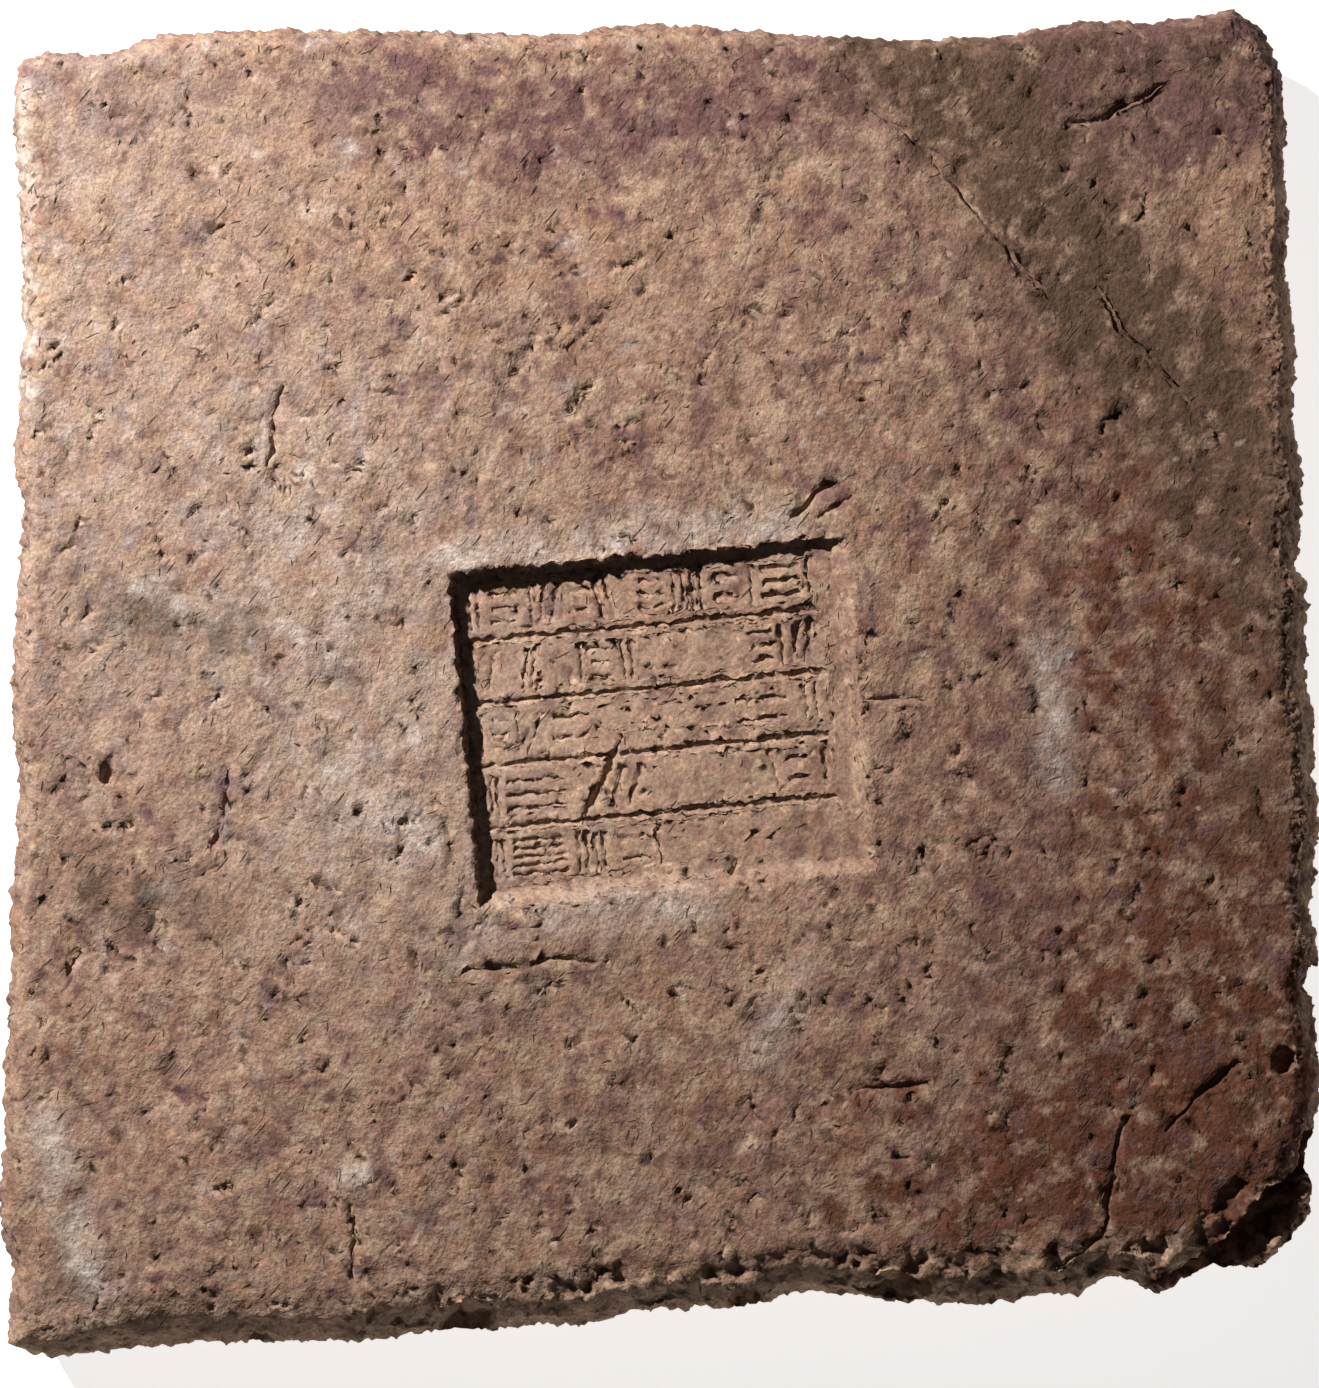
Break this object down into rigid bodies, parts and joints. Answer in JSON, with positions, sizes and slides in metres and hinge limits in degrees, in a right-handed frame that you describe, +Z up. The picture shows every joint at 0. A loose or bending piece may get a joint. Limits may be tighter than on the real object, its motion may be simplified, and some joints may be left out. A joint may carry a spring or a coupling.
{
  "type": "stamped clay brick",
  "caption": "Square ancient building brick of coarse clay, lying flat, with a sunken stamp of ruled rows of plain strokes on its upper face and a broken corner.",
  "frame": {"origin": "centre of the bounding box in X and Y, on the plane of the underside", "axes": "+Z up out of the stamped face, +X along the rows of the stamp, +Y towards the edge above the first row"},
  "size_m": [0.32, 0.327, 0.07],
  "materials": {
    "clay": "coarse fired clay, dull, with chaff slits, dirt and pale lime patches; matte plastic stands in for it"
  },
  "bodies": {
    "root": {"brick": "clay"}
  },
  "joints": []
}
